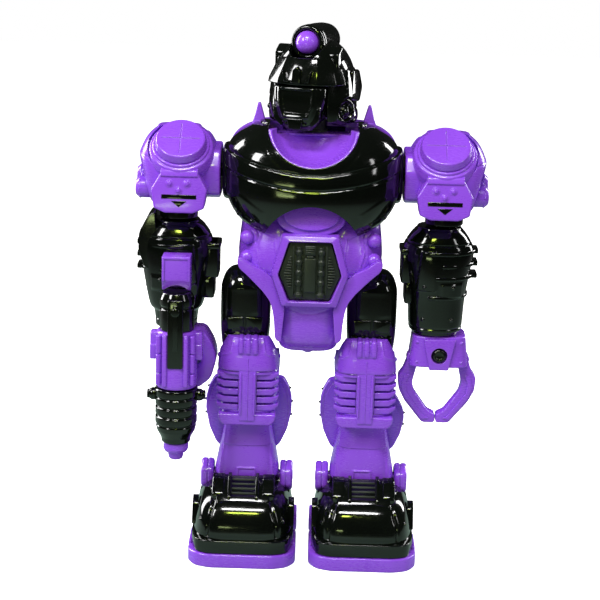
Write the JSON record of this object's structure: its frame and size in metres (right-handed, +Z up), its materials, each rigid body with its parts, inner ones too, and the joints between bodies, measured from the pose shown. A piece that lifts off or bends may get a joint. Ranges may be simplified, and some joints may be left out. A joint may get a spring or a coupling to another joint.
{
  "type": "toy robot",
  "caption": "Standing walking toy robot in purple and black plastic, with a turning head, swinging arms, a blaster, a hinged claw and coupled walking legs.",
  "frame": {"origin": "on the floor, under the middle of the robot's bounding box", "axes": "+X to the robot's left, -Y the way its chest faces, +Z up"},
  "size_m": [0.195, 0.092, 0.2999],
  "materials": {
    "purple_plastic": "glossy moulded purple plastic",
    "black_plastic": "high-gloss black plastic",
    "vent_plastic": "dark grey-green satin plastic",
    "inner_plastic": "unseen dark inner plastic",
    "battery_jacket": "plain printed cell jacket",
    "steel": "bright drawn steel",
    "circuit_laminate": "green solder mask",
    "rubber": "ribbed rubber"
  },
  "bodies": {
    "torso": {"chest_plate": "black_plastic", "collar_bib": "purple_plastic", "front_shell": "purple_plastic", "vent_grille": "vent_plastic", "back_shell": "purple_plastic", "battery_tray": "inner_plastic", "battery_1": "battery_jacket", "battery_2": "battery_jacket", "battery_3": "battery_jacket", "battery_door": "purple_plastic", "drive_motor": "steel", "gearbox_case": "inner_plastic", "hip_axle": "steel", "circuit_board": "circuit_laminate", "speaker": "vent_plastic"},
    "switch": {"power_switch": "black_plastic"},
    "head": {"helmet": "black_plastic", "visor": "black_plastic", "face_mask": "black_plastic", "crest_barrel": "black_plastic", "forehead_lamp": "purple_plastic", "neck_post": "inner_plastic", "ear_pod_right": "black_plastic", "ear_pod_left": "black_plastic"},
    "shoulder_right": {"shoulder_pod_right": "purple_plastic", "shoulder_cap_right": "purple_plastic", "shoulder_booster_right": "purple_plastic", "shoulder_axle_right": "black_plastic", "upper_arm_right": "black_plastic"},
    "forearm_right": {"gauntlet_right": "black_plastic", "hand_right": "purple_plastic", "blaster_sight": "purple_plastic", "blaster_barrel": "black_plastic", "blaster_sleeve": "purple_plastic", "blaster_nozzle": "black_plastic", "blaster_tip": "purple_plastic"},
    "leg_right": {"thigh_right": "black_plastic", "shin_guard_right": "purple_plastic", "calf_shell_right": "purple_plastic"},
    "foot_right": {"foot_upper_right": "black_plastic", "sole_right": "purple_plastic", "ankle_pin_right": "purple_plastic"},
    "roller_right": {"foot_roller_right": "rubber"},
    "shoulder_left": {"shoulder_pod_left": "purple_plastic", "shoulder_cap_left": "purple_plastic", "shoulder_booster_left": "purple_plastic", "shoulder_axle_left": "black_plastic", "upper_arm_left": "black_plastic"},
    "forearm_left": {"gauntlet_left": "black_plastic"},
    "leg_left": {"thigh_left": "black_plastic", "shin_guard_left": "purple_plastic", "calf_shell_left": "purple_plastic"},
    "foot_left": {"foot_upper_left": "black_plastic", "sole_left": "purple_plastic", "ankle_pin_left": "purple_plastic"},
    "roller_left": {"foot_roller_left": "rubber"},
    "wrist": {"wrist_block": "purple_plastic"},
    "button": {"wrist_button": "black_plastic"},
    "claw_inner": {"claw_finger_inner": "purple_plastic"},
    "claw_outer": {"claw_finger_outer": "purple_plastic"}
  },
  "joints": [
    {"name": "head_turn", "type": "hinge", "parent": "torso", "child": "head", "pos_m": [0, 0, 0.245], "axis": [0, 0, 1], "range_deg": [-15, 45]},
    {"name": "shoulder_swing_right", "type": "hinge", "parent": "torso", "child": "shoulder_right", "pos_m": [-0.074, 0, 0.218], "axis": [1, 0, 0], "range_deg": [-110, 40]},
    {"name": "arm_turn_right", "type": "hinge", "parent": "shoulder_right", "child": "forearm_right", "pos_m": [-0.074, 0, 0.19], "axis": [0, 0, 1], "range_deg": [-45, 0]},
    {"name": "shoulder_swing_left", "type": "hinge", "parent": "torso", "child": "shoulder_left", "pos_m": [0.074, 0, 0.218], "axis": [1, 0, 0], "range_deg": [-110, 40]},
    {"name": "arm_turn_left", "type": "hinge", "parent": "shoulder_left", "child": "forearm_left", "pos_m": [0.074, 0, 0.19], "axis": [0, 0, 1], "range_deg": [-45, 45]},
    {"name": "wrist_turn", "type": "hinge", "parent": "forearm_left", "child": "wrist", "pos_m": [0.074, 0, 0.128], "axis": [0, 0, 1], "range_deg": [-90, 90]},
    {"name": "claw_inner_open", "type": "hinge", "parent": "wrist", "child": "claw_inner", "pos_m": [0.06, -0.002, 0.114], "axis": [0, 1, 0], "range_deg": [0, 7]},
    {"name": "claw_outer_open", "type": "hinge", "parent": "wrist", "child": "claw_outer", "pos_m": [0.088, -0.002, 0.114], "axis": [0, 1, 0], "range_deg": [-7, 0]},
    {"name": "wrist_button_press", "type": "slide", "parent": "wrist", "child": "button", "axis": [0, 1, 0], "range_m": [0, 0.0016], "stiffness_N_per_m": 150, "springref_m": -0.001},
    {"name": "power_switch_slide", "type": "slide", "parent": "torso", "child": "switch", "axis": [1, 0, 0], "range_m": [-0.0024, 0.0024]},
    {"name": "hip_right", "type": "hinge", "parent": "torso", "child": "leg_right", "pos_m": [-0.033, 0, 0.15], "axis": [1, 0, 0], "range_deg": [-10, 10]},
    {"name": "ankle_right", "type": "hinge", "parent": "leg_right", "child": "foot_right", "pos_m": [-0.033, 0, 0.0396], "axis": [1, 0, 0], "range_deg": [-10, 10]},
    {"name": "roller_spin_right", "type": "hinge", "parent": "foot_right", "child": "roller_right", "pos_m": [-0.034, 0.014, 0.0042], "axis": [1, 0, 0], "continuous": true},
    {"name": "hip_left", "type": "hinge", "parent": "torso", "child": "leg_left", "pos_m": [0.033, 0, 0.15], "axis": [1, 0, 0], "range_deg": [-10, 10]},
    {"name": "ankle_left", "type": "hinge", "parent": "leg_left", "child": "foot_left", "pos_m": [0.033, 0, 0.0396], "axis": [1, 0, 0], "range_deg": [-10, 10]},
    {"name": "roller_spin_left", "type": "hinge", "parent": "foot_left", "child": "roller_left", "pos_m": [0.034, 0.014, 0.0042], "axis": [1, 0, 0], "continuous": true}
  ],
  "couplings": [
    {"joint": "hip_left", "follows": "hip_right", "ratio": -1},
    {"joint": "ankle_right", "follows": "hip_right", "ratio": -1},
    {"joint": "ankle_left", "follows": "hip_right", "ratio": 1},
    {"joint": "claw_outer_open", "follows": "claw_inner_open", "ratio": -1}
  ]
}
